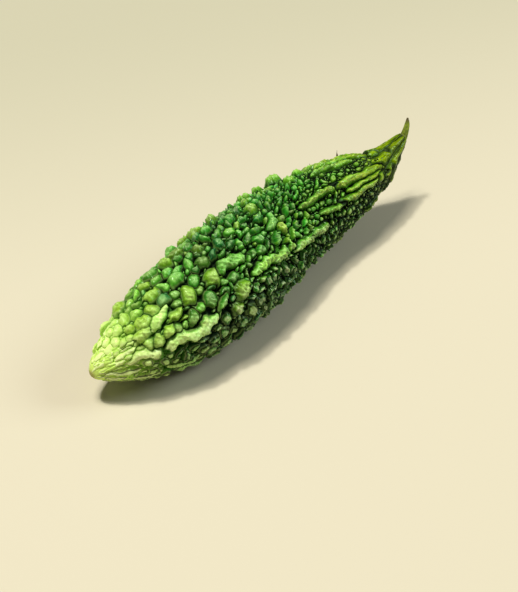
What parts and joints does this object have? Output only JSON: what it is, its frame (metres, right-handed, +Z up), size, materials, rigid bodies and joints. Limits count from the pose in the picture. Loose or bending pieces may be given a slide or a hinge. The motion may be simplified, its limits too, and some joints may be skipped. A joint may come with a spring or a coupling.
{
  "type": "bitter gourd",
  "caption": "Fresh bitter gourd lying on its side: a bent green spindle covered in round warts, with broken lengthwise ribs, a narrow neck and a short curved stalk.",
  "frame": {"origin": "centre of the base of the bounding box, on the surface that the gourd lies on", "axes": "+X along the fruit from its blossom tip to its stalk, +Z up, away from the surface"},
  "size_m": [0.195, 0.0492, 0.0458],
  "materials": {
    "skin": "satin",
    "stalk": "matte"
  },
  "bodies": {
    "root": {"fruit": "skin", "stalk": "stalk"}
  },
  "joints": []
}
